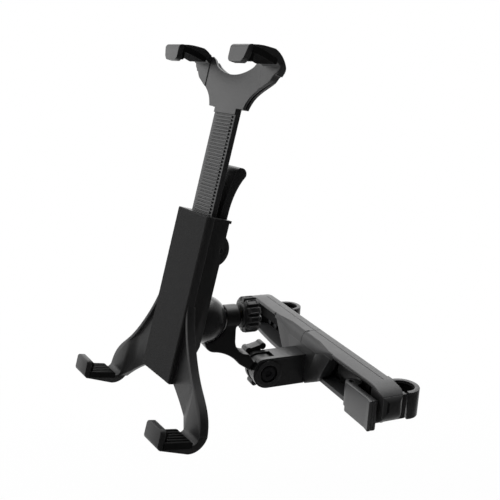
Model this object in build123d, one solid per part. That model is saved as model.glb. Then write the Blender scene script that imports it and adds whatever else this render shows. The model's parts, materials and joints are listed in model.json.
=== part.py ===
from build123d import *
import math
import os

# Headrest tablet mount, in millimetres. X runs along the clamp bar, Y points at the seat, Z is up.
# The origin is midway between the two headrest posts, at the middle of the claws' height.

# Headrest posts and claws
post_spacing = 156.6
post_radius = 6.5
liner_thickness = 1.0
claw_wall = 3.0
claw_height = 17.4
claw_tip_angle = -14.0
jaw_gap = 0.8

# Clamp bar
bar_overhang = 22.7
bar_rear = -13.2
bar_depth = 16.8
bar_top = 18.0
bar_bottom = -8.5
bar_front_bow = 0.9
bar_corner = 5.0
nose_length = 17.0
nose_drop = 9.5
keel_length = 21.0
keel_rise = 7.0
cover_thickness = 4.2
floor_thickness = 3.0
rear_wall = 3.3
front_setback = 3.2
end_cap = 3.0
end_wall = 17.0
pocket_corner = 6.0
cover_seam = 0.3
seam_notch_width = 1.8
seam_notch_length = 3.0
seam_notch_depth = 0.9
top_line_place = 5.6
top_line_width = 0.5
top_line_depth = 0.3
rail_depth = 4.0
rail_bottom = 1.5
cover_screw_inset = 7.3
inner_screw_x = 9.0
end_screw_inset = 2.6

# Stub that carries the arm in the middle of the bar
web_top_half_width = 42.0
web_bottom_half_width = 25.0
web_setback = 0.7
neck_root_half_width = 20.4
neck_root_top = 10.0
neck_half_width = 9.4
stub_front = -35.2
slope_start = -25.8

# Arm block, a clevis on the stub
arm_half_width = 8.0
arm_height = 21.6
arm_gap = 0.8
pivot_y = -57.0
pivot_z = -6.2
spigot_width = 10.0
spigot_height = 12.0
spigot_length = 9.0
cheek_thickness = 3.7
boss_radius = 9.2
boss_height = 1.6
arm_cap = 1.6
arm_cap_overhang = 0.8
arm_top_reach = 8.6
crown_flat = 3.5
crown_drop = 2.0
crown_inset = 0.5
arm_screw_lift = 3.0
arm_screw_bite = 4.0

# Pivot bolt and wing nut
pivot_bolt_radius = 2.5
pivot_head_radius = 5.2
pivot_head_height = 3.0
pivot_head_sink = 0.6
pivot_recess_radius = 6.4
pivot_socket_radius = 2.7
pivot_socket_depth = 1.6
pivot_washer_thickness = 1.0
wing_hub_radius = 6.0
wing_hub_length = 7.5
wing_span = 14.8
wing_width = 15.5
wing_tip_radius = 2.4
wing_bar = 3.2
wing_neck = 7.0
wing_tilt = 13.0

# Elbow with the ball seat
elbow_half_width = 6.5
elbow_hub_inset = 0.4
elbow_clearance = 0.3
elbow_back = 30.0
leg_back = 3.4
leg_front = 2.0
collar_radius = 8.0
collar_length = 11.9
collar_round = 2.6
chin_radius = 8.0
chin_y = -95.2
chin_z = 20.4

# Ball joint
ball_y = -102.9
ball_z = 35.0
ball_radius = 15.5
ball_wall = 2.9
ball_gap = 0.3
ball_floor = 4.0
ball_screw_circle = 10.0
ball_screw_cover = 0.6
ball_hole_angle = 28.5
washer_thickness = 1.1
outer_washer_hole = 24.0
inner_washer_hole = 32.0
washer_edge_angle = 62.0
ball_bolt_radius = 2.0
ball_head_radius = 4.5
ball_head_height = 4.0
cup_radius = 7.2
cup_seat = 5.0

# Knob of the ball joint
knob_radius = 12.0
knob_length = 9.0
knob_gap = 0.4
knob_lobes = 12
knob_groove_width = 2.3
knob_groove_depth = 1.5
knob_chamfer = 0.8
knob_nut_radius = 4.2
knob_nut_length = 4.5
knob_bolt_past_nut = 2.0

# Cradle in its own frame: u across, w back from the pad's face, v up from the pad's middle
cradle_yaw = 10.4
cradle_lean = 13.1
ball_v = -14.5
ball_w = 25.8
pad_width = 36.0
pad_length = 105.0
pad_thickness = 1.4
shell_split = 5.5
shell_width = 35.0
shell_back = 16.8
shell_taper_start = -28.0
shell_taper_end = 9.0
shell_lip = 1.3
shell_lip_height = 1.8
shell_bottom_wall = 2.5
shell_back_wall = 2.0
shell_screw_high = 8.0
shell_screw_low = -24.0
shell_screw_bite = 3.0
shell_screw_sink = 0.4
lever_opening = 10.5

# Rack and upper fork
rack_width = 23.8
rack_front = 5.8
rack_thickness = 4.2
rack_rail = 2.4
rack_bottom = 14.0
rack_plain = 3.0
ridge_pitch = 2.1
ridge_depth = 0.8
slide_gap = 0.3
fork_base = 118.3
fork_front = 5.8
fork_thickness = 4.4
fork_step = 0.9
fork_base_half_width = 19.0
fork_valley = 138.6
fork_top = 154.0
fork_ear = 47.5
fork_groove_depth = 0.8
fork_groove_width = 1.2
upper_hook_u = 38.0
upper_hook_width = 17.4
upper_hook_reach = 18.4
upper_lip_bottom = 140.0
upper_roof_drop = 2.2
upper_crown_run = 11.0
upper_crown_drop = 12.0
hook_wall = 3.6
hook_corner = 3.0
hook_fillet = 4.0

# Lower arms and hooks, moulded with the front shell
lower_hook_u = 52.8
lower_hook_width = 16.6
lower_hook_reach = 25.0
lower_hook_floor = -71.5
lower_lip_top = -62.0
lower_arm_top = -3.0
lower_arm_front = 3.8
lower_arm_back = 6.5
lower_rim_front = 1.0
lower_rim_shift = 1.6
lower_ramp = 8.0

# Rubber pads in the hooks
hook_pad = 2.4
hook_pad_overlap = 0.6
hook_pad_ridge = 0.7
hook_pad_ridges = 6
hook_pad_land = 0.65
hook_pad_skirt = 1.6
hook_pad_short = 1.5

# Release lever
lever_half_width = 12.0
lever_pivot_w = 16.0
lever_pivot_v = 33.3
lever_hub_radius = 3.8
lever_pin_radius = 1.5
lever_side_gap = 0.5
ear_bulge = 4.4
ear_half_length = 8.6
lever_tip_v = 83.0
pawl_gap = 0.3
spring_strip = 0.4
spring_width = 8.0

# Cam lever, sliding clamp block and right claw
cam_pin_inset = 11.8
cam_pin_y = -29.2
cam_pin_radius = 1.6
cam_eye_radius = 5.0
cam_throw = 1.2
cam_gap = 0.4
cam_top = 9.0
cam_eye_bottom = -5.0
cam_tip_bottom = -9.0
cam_blade_thickness = 5.0
cam_blade_length = 27.5
shank_width = 6.0
shank_bottom = -1.0
shank_top = 6.0
block_inset = 18.3
block_width = 16.0
block_sill = 2.0
block_guide = 1.5
block_travel_in = 24.0
block_travel_out = 3.0
jaw_width = 17.6
left_screw_inset = 3.0
left_screw_z = -2.0
left_screw_bite = 6.0

# Screws
screw_radius = 1.3
screw_head_radius = 2.4
screw_head_height = 1.8
screw_sink = 0.8
screw_cover_left = 1.4
bore_clearance = 0.05

# Sizes worked out from the ones above
bar_front = bar_rear - bar_depth
cover_bottom = bar_top - cover_thickness
floor_top = bar_bottom + floor_thickness
channel_back = bar_rear - rear_wall
liner_radius = post_radius + liner_thickness
claw_radius = liner_radius + claw_wall
post_x = post_spacing / 2
bar_half_length = post_x + bar_overhang
bar_reach = bar_half_length + 1
pocket_end = bar_half_length - end_wall
rail_front = channel_back - rail_depth
web_front = bar_front + web_setback
cam_pin_x = post_x - cam_pin_inset
cam_blade_end = cam_pin_x + cam_blade_length
block_left = post_x - block_inset
block_right = block_left + block_width
arm_side = arm_half_width - arm_cap_overhang
arm_top = pivot_z + arm_height / 2
arm_bottom = pivot_z - arm_height / 2
arm_end = stub_front - arm_gap
slot_half_width = arm_half_width - cheek_thickness
tongue_half_width = slot_half_width - elbow_clearance
elbow_hub_radius = arm_height / 2 - elbow_hub_inset
shoulder_radius = math.hypot(arm_top_reach, arm_height / 2 - crown_drop) + 2 * elbow_clearance
collar_front = ball_y + math.sqrt(ball_radius**2 - collar_radius**2)
collar_back = collar_front + collar_length
knob_front = collar_back + knob_gap
knob_back = knob_front + knob_length
ball_inner = ball_radius - ball_wall
outer_washer_radius = ball_inner - ball_gap
inner_washer_radius = outer_washer_radius - washer_thickness - ball_gap
cup_sphere = inner_washer_radius - washer_thickness - ball_gap
ball_base = ball_w - shell_back
knob_nut_back = knob_front + knob_nut_length
knob_bolt_end = knob_nut_back + knob_bolt_past_nut
rack_back = rack_front + rack_thickness
fork_back = fork_front + fork_thickness
upper_ceiling = fork_top - hook_wall - upper_roof_drop
channel_half_width = rack_width / 2 + slide_gap
half_shell = shell_width / 2
half_pad = pad_length / 2
eye_back = cam_pin_y + cam_throw + cam_eye_radius
block_front = eye_back + cam_gap
cam_blade_rear = cam_pin_y + 0.8
far = 2 * fork_top


def box(x0, x1, y0, y1, z0, z1):
    middle = Pos((x0 + x1) / 2, (y0 + y1) / 2, (z0 + z1) / 2)
    return middle * Box(x1 - x0, y1 - y0, z1 - z0)


def rod_x(radius, x0, x1, y, z):
    return Pos((x0 + x1) / 2, y, z) * Rot(0, 90, 0) * Cylinder(radius, x1 - x0)


def rod_y(radius, y0, y1, x, z):
    return Pos(x, (y0 + y1) / 2, z) * Rot(90, 0, 0) * Cylinder(radius, y1 - y0)


def rod_z(radius, z0, z1, x, y):
    return Pos(x, y, (z0 + z1) / 2) * Cylinder(radius, z1 - z0)


def outline(*points):
    return make_face(Polyline(*points, close=True))


def through_x(face, x0, x1):
    return extrude(Plane.YZ.offset(x0) * face, amount=x1 - x0)


def through_y(face, y0, y1):
    return extrude(Plane.XZ.offset(-y1) * face, amount=y1 - y0)


def through_z(face, z0, z1):
    return extrude(Plane.XY.offset(z0) * face, amount=z1 - z0)


def mirrored(shape):
    return mirror(shape, about=Plane.YZ)


def place_cradle(shape):
    at_ball = Pos(0, -ball_w, -ball_v) * shape
    return Pos(0, ball_y, ball_z) * Rot(0, 0, cradle_yaw) * Rot(-cradle_lean, 0, 0) * at_ball


# Clamp bar

def bar_envelope():
    end_front = bar_front + bar_front_bow
    rear = Polyline(
        (-bar_half_length, end_front),
        (-bar_half_length, bar_rear),
        (bar_half_length, bar_rear),
        (bar_half_length, end_front),
    )
    front = ThreePointArc((bar_half_length, end_front), (0, bar_front), (-bar_half_length, end_front))
    plan = make_face(rear + front)
    plan = fillet(plan.vertices(), bar_corner)
    top_run = bar_half_length - nose_length
    low_run = bar_half_length - keel_length
    nose_low = bar_top - nose_drop
    keel_high = bar_bottom + keel_rise
    nose = EllipticalCenterArc((top_run, nose_low), nose_length, nose_drop, 0)
    keel = EllipticalCenterArc((low_run, keel_high), keel_length, keel_rise, 270)
    tip = Line((bar_half_length, keel_high), (bar_half_length, nose_low))
    middle = Polyline((top_run, bar_top), (0, bar_top), (0, bar_bottom), (low_run, bar_bottom))
    half = make_face(middle + keel + tip + nose)
    side = half + mirror(half, about=Plane.YZ)
    return through_z(plan, bar_bottom, bar_top) & through_y(side, bar_front - 1, bar_rear + 1)


def slope_cut():
    deep = web_front - 5
    wedge = outline(
        (slope_start, bar_top),
        (web_front, neck_root_top),
        (deep, neck_root_top),
        (deep, bar_top),
    )
    middle = through_x(wedge, -neck_root_half_width, neck_root_half_width)
    corner = Vertex(web_top_half_width, web_front, bar_top)
    side = outline((slope_start, bar_top), (web_front, neck_root_top), (web_front, bar_top))
    end = loft([Plane.YZ.offset(neck_root_half_width) * side, corner])
    return [middle, end, mirrored(end)]


def stub():
    slant = (web_top_half_width - web_bottom_half_width) / (bar_top - bar_bottom)
    high = web_top_half_width - slant * cover_thickness
    chin = arm_bottom + 0.6
    face = outline(
        (-high, cover_bottom),
        (high, cover_bottom),
        (web_bottom_half_width, bar_bottom),
        (neck_half_width, chin),
        (-neck_half_width, chin),
        (-web_bottom_half_width, bar_bottom),
    )
    block = through_y(face, web_front, channel_back)
    root = outline(
        (-neck_root_half_width, neck_root_top),
        (neck_root_half_width, neck_root_top),
        (neck_half_width, chin),
        (-neck_half_width, chin),
    )
    tip = outline(
        (-neck_half_width, arm_top),
        (neck_half_width, arm_top),
        (neck_half_width, arm_bottom),
        (-neck_half_width, arm_bottom),
    )
    block += loft([Plane.XZ.offset(-web_front) * root, Plane.XZ.offset(-stub_front) * tip])
    under = web_bottom_half_width + 1
    block -= box(-under, under, bar_front + front_setback, 0, arm_bottom - 1, bar_bottom)
    for cut in slope_cut():
        block -= cut
    return block


def pocket():
    depth = channel_back - (bar_front - 5)
    flat = Rectangle(2 * pocket_end, depth)
    flat = fillet(flat.vertices().group_by(Axis.Y)[-1], pocket_corner)
    flat = Pos(0, channel_back - depth / 2) * flat
    return through_z(flat, floor_top, cover_bottom)


def screw_points():
    y = bar_rear - cover_screw_inset
    return [(sign * x, y) for sign in (-1, 1) for x in (inner_screw_x, pocket_end + end_screw_inset)]


def screw(tip, head_end, radius=screw_radius):
    shank = Pos(0, 0, (tip + head_end) / 2) * Cylinder(radius, abs(tip - head_end))
    inward = 1 if tip > head_end else -1
    middle = head_end + inward * screw_head_height / 2
    return shank + Pos(0, 0, middle) * Cylinder(screw_head_radius, screw_head_height)


def cover_screws():
    one = screw(bar_top - screw_cover_left, bar_bottom + screw_sink)
    return Compound(children=[Pos(x, y, 0) * one for x, y in screw_points()])


def screw_holes():
    head_top = bar_bottom + screw_sink + screw_head_height
    holes = []
    for x, y in screw_points():
        holes.append(rod_z(screw_radius, bar_bottom, bar_top - screw_cover_left, x, y))
        holes.append(rod_z(screw_head_radius, bar_bottom - 1, head_top, x, y))
    return holes


def bar_body():
    body = bar_envelope() & box(-bar_reach, bar_reach, bar_front - 1, bar_rear + 1, bar_bottom, cover_bottom)
    body -= pocket()
    open_end = bar_half_length - end_cap
    body -= box(-open_end, open_end, bar_front - 1, bar_front + front_setback, bar_bottom, cover_bottom)
    body += stub()
    body += box(-pocket_end, -web_bottom_half_width, rail_front, channel_back, rail_bottom, cover_bottom)
    slot_left = block_left - block_travel_in - slide_gap
    slot_right = block_right + block_travel_out + slide_gap
    sill = floor_top + block_sill
    body -= box(slot_left, slot_right, channel_back - 1, bar_rear + 1, sill, cover_bottom)
    body -= box(slot_left, slot_right, block_front - slide_gap, channel_back, floor_top, cover_bottom)
    guide_left = slot_left - block_travel_in
    body -= box(guide_left, slot_left, rail_front - slide_gap, channel_back, floor_top, cover_bottom)
    half_width = spigot_width / 2
    half_height = spigot_height / 2
    depth = stub_front + spigot_length - arm_gap
    body -= box(-half_width, half_width, stub_front, depth, pivot_z - half_height, pivot_z + half_height)
    screw_z = pivot_z + arm_screw_lift
    body -= rod_y(screw_radius, depth - 1, bar_rear + 1, 0, screw_z)
    body -= rod_y(screw_head_radius, bar_rear - screw_head_height, bar_rear + 1, 0, screw_z)
    for x, z in left_screw_points():
        body -= rod_y(screw_radius, channel_back - 1, bar_rear + 1, x, z)
    for hole in screw_holes():
        body -= hole
    return body


def top_cover():
    half = box(cover_seam / 2, bar_reach, bar_front - 1, bar_rear + 1, cover_bottom, bar_top)
    top = bar_envelope() & half
    for cut in slope_cut():
        top -= cut
    for hole in screw_holes():
        top -= hole
    line_rear = bar_rear - top_line_place
    line_end = bar_half_length - nose_length
    top -= box(0, line_end, line_rear - top_line_width, line_rear, bar_top - top_line_depth, bar_top)
    notch_rear = slope_start + seam_notch_length
    half_notch = seam_notch_width / 2
    return top - box(0, half_notch, slope_start, notch_rear, bar_top - seam_notch_depth, bar_top)


# Claws, in the right-hand position

def claw_ring(inner, outer, z0, z1, start, end):
    ring = rod_z(outer, z0, z1, post_x, 0) - rod_z(inner, z0, z1, post_x, 0)
    far = 3 * outer
    spread = [start + (end - start) * i / 4 for i in range(5)]
    rim = [(far * math.cos(math.radians(a)), far * math.sin(math.radians(a))) for a in spread]
    wedge = Pos(post_x, 0, 0) * through_z(outline((0, 0), *rim), z0, z1)
    return ring & wedge


def claw_hook():
    half = claw_height / 2
    return claw_ring(liner_radius, claw_radius, -half, half, claw_tip_angle, 180)


def claw_liner():
    half = claw_height / 2 - 1
    return claw_ring(post_radius, liner_radius, -half, half, claw_tip_angle + 8, 172)


def jaw():
    left = post_x - claw_radius + (claw_wall - 0.4)
    back = claw_radius * math.sin(math.radians(claw_tip_angle)) - jaw_gap
    half = claw_height / 2 - 0.7
    block = box(left, left + jaw_width, bar_rear + 0.2, back, -half, half)
    return block - rod_z(post_radius + 0.4, -half, half, post_x, 0)


def shank():
    x0 = cam_pin_x - shank_width / 2
    x1 = cam_pin_x + shank_width / 2
    arm = box(x0, x1, cam_pin_y, 0, shank_bottom, shank_top)
    arm += rod_z(shank_width / 2, shank_bottom, shank_top, cam_pin_x, cam_pin_y)
    half = claw_height / 2
    heel_end = post_x - liner_radius
    heel = box(x0, heel_end, -2.0, 0, -half, half)
    heel += box(x0, heel_end, -2.0, 5.0, -half, half) & rod_z(claw_radius, -half, half, post_x, 0)
    arm -= rod_z(cam_pin_radius + bore_clearance, shank_bottom, shank_top, cam_pin_x, cam_pin_y)
    return arm + heel


def right_claw():
    return claw_hook() + shank()


def left_screw_points():
    inner = block_left + left_screw_inset
    outer = block_right - left_screw_inset
    return [(-inner, left_screw_z), (-outer, left_screw_z)]


def left_claw():
    half = claw_height / 2
    back = claw_radius * math.sin(math.radians(claw_tip_angle)) - jaw_gap
    foot = box(block_left, post_x + claw_radius, bar_rear, back, -half + 0.7, half - 0.7)
    foot += box(block_left, post_x - liner_radius, back, 0, -half + 0.7, half - 0.7)
    foot -= rod_z(liner_radius, -half, half, post_x, 0)
    claw = mirrored(foot + claw_hook())
    for x, z in left_screw_points():
        claw -= rod_y(screw_radius, bar_rear, bar_rear + left_screw_bite, x, z)
    return claw


def left_claw_screws():
    one = Rot(-90, 0, 0) * screw(rear_wall + left_screw_bite, -screw_head_height)
    return Compound(children=[Pos(x, channel_back, z) * one for x, z in left_screw_points()])


def clamp_block():
    sill_top = floor_top + block_sill
    flange = box(block_left, block_right, block_front, channel_back - slide_gap,
                 floor_top + slide_gap, cover_bottom - slide_gap)
    neck = box(block_left, block_right, channel_back - slide_gap, bar_rear + 0.2,
               sill_top + slide_gap, cover_bottom - slide_gap)
    guide_left = block_left - block_travel_in
    guide_back = channel_back - slide_gap
    rail = box(guide_left, block_left, rail_front, guide_back, rail_bottom, cover_bottom - slide_gap)
    guide_front = guide_back - block_guide
    guide = box(guide_left, block_left, guide_front, guide_back, floor_top + slide_gap, rail_bottom)
    block = flange + neck + jaw() + rail + guide
    tunnel = box(cam_pin_x - shank_width / 2 - slide_gap, cam_pin_x + shank_width / 2 + slide_gap,
                 block_front, 0, shank_bottom - slide_gap, shank_top + slide_gap)
    return block - tunnel


# Cam lever

def cam_lever():
    eye = rod_z(cam_eye_radius, cam_eye_bottom, cam_top, cam_pin_x, cam_pin_y + cam_throw)
    front = cam_blade_rear - cam_blade_thickness
    blade_start = cam_pin_x
    plan = outline(
        (blade_start, cam_pin_y + cam_throw - cam_eye_radius),
        (blade_start + 3, front),
        (cam_blade_end, front),
        (cam_blade_end, cam_blade_rear),
        (blade_start + 2, cam_blade_rear),
    )
    side = outline(
        (blade_start, cam_eye_bottom),
        (blade_start + 6, cam_eye_bottom - 0.8),
        (cam_blade_end, cam_tip_bottom),
        (cam_blade_end, cam_top),
        (blade_start, cam_top),
    )
    blade = through_z(plan, cam_tip_bottom, cam_top) & through_y(side, front - 2, cam_blade_rear)
    tip = blade.edges().filter_by(Axis.Z).sort_by(Axis.X)[-2:]
    blade = fillet(tip, 1.6)
    lever = eye + blade
    slot = box(cam_pin_x - 10, cam_pin_x + shank_width / 2 + 1.2, cam_pin_y - 8, cam_pin_y + 10,
               shank_bottom - slide_gap, shank_top + slide_gap)
    lever -= slot
    hollow = Pos(cam_pin_x - 1, front + 1.2, (shank_bottom + shank_top) / 2) * Cylinder(2.6, 9)
    lever -= hollow
    return lever - rod_z(cam_pin_radius, cam_eye_bottom, cam_top, cam_pin_x, cam_pin_y)


def cam_pin():
    return rod_z(cam_pin_radius, cam_eye_bottom + 0.5, cam_top - 1.2, cam_pin_x, cam_pin_y)


# Arm block, pivot bolt and wing nut

def crown_face(inset=0.0):
    top = arm_top - inset
    flat = pivot_y - crown_flat
    tip = pivot_y - arm_top_reach
    low = pivot_z + 3
    over = Polyline((pivot_y, low), (pivot_y, top), (flat, top))
    bend = TangentArc((flat, top), (tip, top - crown_drop), tangent=(-1, 0))
    down = Polyline((tip, top - crown_drop), (tip, low), (pivot_y, low))
    return make_face(over + bend + down)


def arm_profile():
    profile = Pos(pivot_y, pivot_z) * Circle(arm_height / 2)
    profile += Pos((pivot_y + arm_end) / 2, pivot_z) * Rectangle(arm_end - pivot_y, arm_height)
    return profile + crown_face()


def arm_block():
    block = through_x(arm_profile(), -arm_side, arm_side)
    run = arm_end - pivot_y
    brow = crown_face()
    cap = brow - Pos(0, -arm_cap) * brow
    cap += Pos(pivot_y + run / 2, arm_top - arm_cap / 2) * Rectangle(run, arm_cap)
    block += through_x(cap, -arm_half_width, arm_half_width)
    block += rod_x(boss_radius, 0, arm_side + boss_height, pivot_y, pivot_z)
    block -= rod_x(elbow_hub_radius + elbow_clearance, -slot_half_width, slot_half_width, pivot_y, pivot_z)
    front = pivot_y - arm_height
    block -= box(-slot_half_width, slot_half_width, front, pivot_y, arm_bottom - 1, arm_top + 1)
    slot_end = pivot_y + (arm_top - pivot_z) * math.sin(math.radians(elbow_back))
    block -= box(-slot_half_width, slot_half_width, pivot_y, slot_end, pivot_z, arm_top)
    boss_face = arm_side + boss_height
    block -= rod_x(pivot_recess_radius, boss_face - pivot_head_height, boss_face, pivot_y, pivot_z)
    block -= rod_x(pivot_bolt_radius, -arm_side, arm_side, pivot_y, pivot_z)
    half_width = spigot_width / 2
    half_height = spigot_height / 2
    block += box(-half_width, half_width, arm_end, arm_end + spigot_length,
                 pivot_z - half_height, pivot_z + half_height)
    screw_z = pivot_z + arm_screw_lift
    return block - rod_y(screw_radius, arm_end - arm_screw_bite, arm_end + spigot_length, 0, screw_z)


def arm_screw():
    start = arm_end - arm_screw_bite
    return Pos(0, 0, pivot_z + arm_screw_lift) * Rot(90, 0, 0) * screw(-start, -bar_rear)


def pivot_bolt():
    head_face = arm_side + boss_height - pivot_head_height
    head_end = head_face + pivot_head_height - pivot_head_sink
    end = -arm_side - pivot_washer_thickness - wing_hub_length - 1.5
    bolt = rod_x(pivot_head_radius, head_face, head_end, pivot_y, pivot_z)
    socket = Plane.YZ.offset(head_end) * Pos(pivot_y, pivot_z) * RegularPolygon(pivot_socket_radius, 6)
    bolt -= extrude(socket, amount=-pivot_socket_depth)
    return bolt + rod_x(pivot_bolt_radius, end, head_face, pivot_y, pivot_z)


def pivot_washer():
    face = -arm_side
    washer = rod_x(wing_hub_radius + 0.8, face - pivot_washer_thickness, face, pivot_y, pivot_z)
    return washer - rod_x(pivot_bolt_radius, face - pivot_washer_thickness, face, pivot_y, pivot_z)


def wing_nut():
    face = -arm_side - pivot_washer_thickness
    end = face - wing_hub_length
    nut = rod_x(wing_hub_radius, end, face, 0, 0)
    tip_z = wing_span - wing_tip_radius
    tip_y = wing_width / 2 - wing_tip_radius
    ear = Pos(0, tip_z / 2) * Rectangle(wing_neck, tip_z)
    ear += Pos(0, tip_z) * Rectangle(2 * tip_y, wing_bar)
    ear += Pos(tip_y, tip_z) * Circle(wing_tip_radius)
    ear += Pos(-tip_y, tip_z) * Circle(wing_tip_radius)
    wing = through_x(ear, end, face)
    nut += wing
    nut += Rot(180, 0, 0) * wing
    nut -= rod_x(pivot_bolt_radius + bore_clearance, end, face, 0, 0)
    return Pos(0, pivot_y, pivot_z) * Rot(wing_tilt, 0, 0) * nut


# Elbow and ball joint

def elbow_arm():
    rear_top = collar_back - leg_back
    front_top = collar_front - leg_front
    rear_low = (rear_top, ball_z - 17)
    knee = (pivot_y - 14, ball_z - 26)
    hub_edge = (pivot_y - elbow_hub_radius * 0.79, pivot_z + elbow_hub_radius * 0.61)
    calf = (pivot_y - 21.2, pivot_z + 8.2)
    chin = (chin_y, chin_z - chin_radius)
    rear = Line((rear_top, ball_z), rear_low)
    bend = ThreePointArc(rear_low, (rear_top + 3.6, ball_z - 23.6), knee)
    tongue = Polyline(knee, hub_edge, (pivot_y, pivot_z), (pivot_y - 8.5, pivot_z - 0.4), calf)
    sweep = ThreePointArc(calf, (chin_y + 4.6, chin_z - 9.2), chin)
    front = Polyline(chin, (front_top, ball_z), (rear_top, ball_z))
    leg = make_face(rear + bend + tongue + sweep + front)
    full = through_x(leg, -elbow_half_width, elbow_half_width)
    full += rod_x(chin_radius, -elbow_half_width, elbow_half_width, chin_y, chin_z)
    full -= rod_x(shoulder_radius, -elbow_half_width, elbow_half_width, pivot_y, pivot_z)
    full += through_x(leg, -tongue_half_width, tongue_half_width)
    full += rod_x(elbow_hub_radius, -tongue_half_width, tongue_half_width, pivot_y, pivot_z)
    full += through_x(crown_face(crown_inset), -tongue_half_width, tongue_half_width)
    collar = rod_y(collar_radius, ball_y, collar_back, 0, ball_z)
    rear_rim = collar.edges().filter_by(GeomType.CIRCLE).sort_by(Axis.Y)[-1]
    full += fillet(rear_rim, collar_round)
    full -= Pos(0, ball_y, ball_z) * Sphere(ball_radius + ball_gap)
    full -= rod_x(pivot_bolt_radius + bore_clearance, -elbow_half_width, elbow_half_width, pivot_y, pivot_z)
    return full - rod_y(ball_bolt_radius, ball_y, collar_back, 0, ball_z)


def ball_bolt():
    seat = ball_y + cup_seat
    bolt = rod_y(ball_head_radius, seat - ball_head_height, seat, 0, ball_z)
    return bolt + rod_y(ball_bolt_radius, seat, knob_bolt_end, 0, ball_z)


def clamp_cup():
    cup = rod_y(cup_radius, ball_y + cup_seat, ball_y + cup_sphere, 0, ball_z)
    cup = cup & (Pos(0, ball_y, ball_z) * Sphere(cup_sphere))
    return cup - rod_y(ball_bolt_radius, ball_y, ball_y + cup_sphere, 0, ball_z)


def cone_y(angle, reach):
    wide = reach * math.tan(math.radians(angle))
    cone = Cone(0, wide, reach, align=(Align.CENTER, Align.CENTER, Align.MIN))
    return Rot(-90, 0, 0) * cone


def ball_washer(outer, hole, yaw, lean):
    shell = Sphere(outer) - Sphere(outer - washer_thickness)
    ring = shell & cone_y(washer_edge_angle, 2 * outer)
    ring -= cone_y(hole, 2 * outer)
    return Pos(0, ball_y, ball_z) * Rot(0, 0, yaw) * Rot(-lean, 0, 0) * ring


def outer_washer():
    return ball_washer(outer_washer_radius, outer_washer_hole, cradle_yaw, 0)


def inner_washer():
    return ball_washer(inner_washer_radius, inner_washer_hole, cradle_yaw, cradle_lean)


def ball_screw_points():
    turns = [math.radians(a) for a in (90, 210, 330)]
    return [(ball_screw_circle * math.cos(a), ball_screw_circle * math.sin(a)) for a in turns]


def ball_dome():
    size = 2 * ball_radius
    ball = Sphere(ball_radius) & box(-size, size, -ball_base, size, -size, size)
    floor = -ball_base + ball_floor
    ball -= Sphere(ball_inner) & box(-size, size, floor, size, -size, size)
    ball -= cone_y(ball_hole_angle, size)
    for u, v in ball_screw_points():
        ball -= rod_y(screw_radius, -ball_base, floor - ball_screw_cover, u, v)
    return place_cradle(Pos(0, ball_w, ball_v) * ball)


def knob():
    body = rod_y(knob_radius, knob_front, knob_back, 0, 0)
    body = chamfer(body.edges().filter_by(GeomType.CIRCLE), knob_chamfer)
    half_groove = knob_groove_width / 2
    groove_floor = knob_radius - knob_groove_depth
    groove = box(-half_groove, half_groove, knob_front, knob_back, groove_floor, knob_radius + 1)
    for i in range(knob_lobes):
        body -= Rot(0, 360 / knob_lobes * (i + 0.5), 0) * groove
    body -= rod_y(knob_nut_radius, knob_front, knob_nut_back, 0, 0)
    body -= rod_y(ball_bolt_radius + bore_clearance, knob_front, knob_bolt_end + 0.5, 0, 0)
    return Pos(0, 0, ball_z) * body


def knob_nut():
    nut = rod_y(knob_nut_radius, knob_front, knob_nut_back, 0, ball_z)
    return nut - rod_y(ball_bolt_radius + bore_clearance, knob_front, knob_nut_back, 0, ball_z)


# Cradle housing, in the cradle's own frame

def arm_outline():
    root = pad_width / 2
    inner_end = lower_hook_u - lower_hook_width / 2
    outer_end = lower_hook_u + lower_hook_width / 2
    tip = (outer_end, lower_hook_floor + 4)
    shoulder = (root, lower_arm_top)
    outer = Spline(shoulder, (root + 13, -28.0), (inner_end - 0.5, -43.5), (outer_end - 5.5, -54.5), tip)
    inner = Spline((inner_end, lower_hook_floor), (root + 12, -60.0), (root, -half_pad))
    end = Line(tip, (inner_end, lower_hook_floor))
    side = Line((root, -half_pad), shoulder)
    return make_face(outer + end + inner + side)


def lower_hook_profile():
    reach = -lower_hook_reach
    floor = lower_hook_floor
    back = lower_arm_back
    rim = lower_rim_front
    under = floor - hook_wall
    heel = ThreePointArc((back, floor + 5), (back - 3.2, floor - 2.2), (back - 11, under - 1.6))
    sole = Line((back - 11, under - 1.6), (reach + 3, under + 1.2))
    toe = ThreePointArc((reach + 3, under + 1.2), (reach + 0.7, under + 2.2), (reach, under + 4.4))
    lip = Polyline(
        (reach, under + 4.4),
        (reach, lower_lip_top),
        (reach + hook_wall, lower_lip_top),
        (reach + hook_wall, floor),
        (rim - hook_fillet, floor),
    )
    hollow = ThreePointArc((rim - hook_fillet, floor), (rim - 1.2, floor + 1.2), (rim, floor + hook_fillet))
    close = Polyline((rim, floor + hook_fillet), (rim, floor + 5), (back, floor + 5))
    return make_face(heel + sole + toe + lip + hollow + close)


def rounded_end(u_middle, width, v0, v1, top):
    frame = Rectangle(width, v1 - v0)
    group = frame.vertices().group_by(Axis.Y)[-1 if top else 0]
    return Pos(u_middle, (v0 + v1) / 2) * fillet(group, hook_corner)


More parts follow.
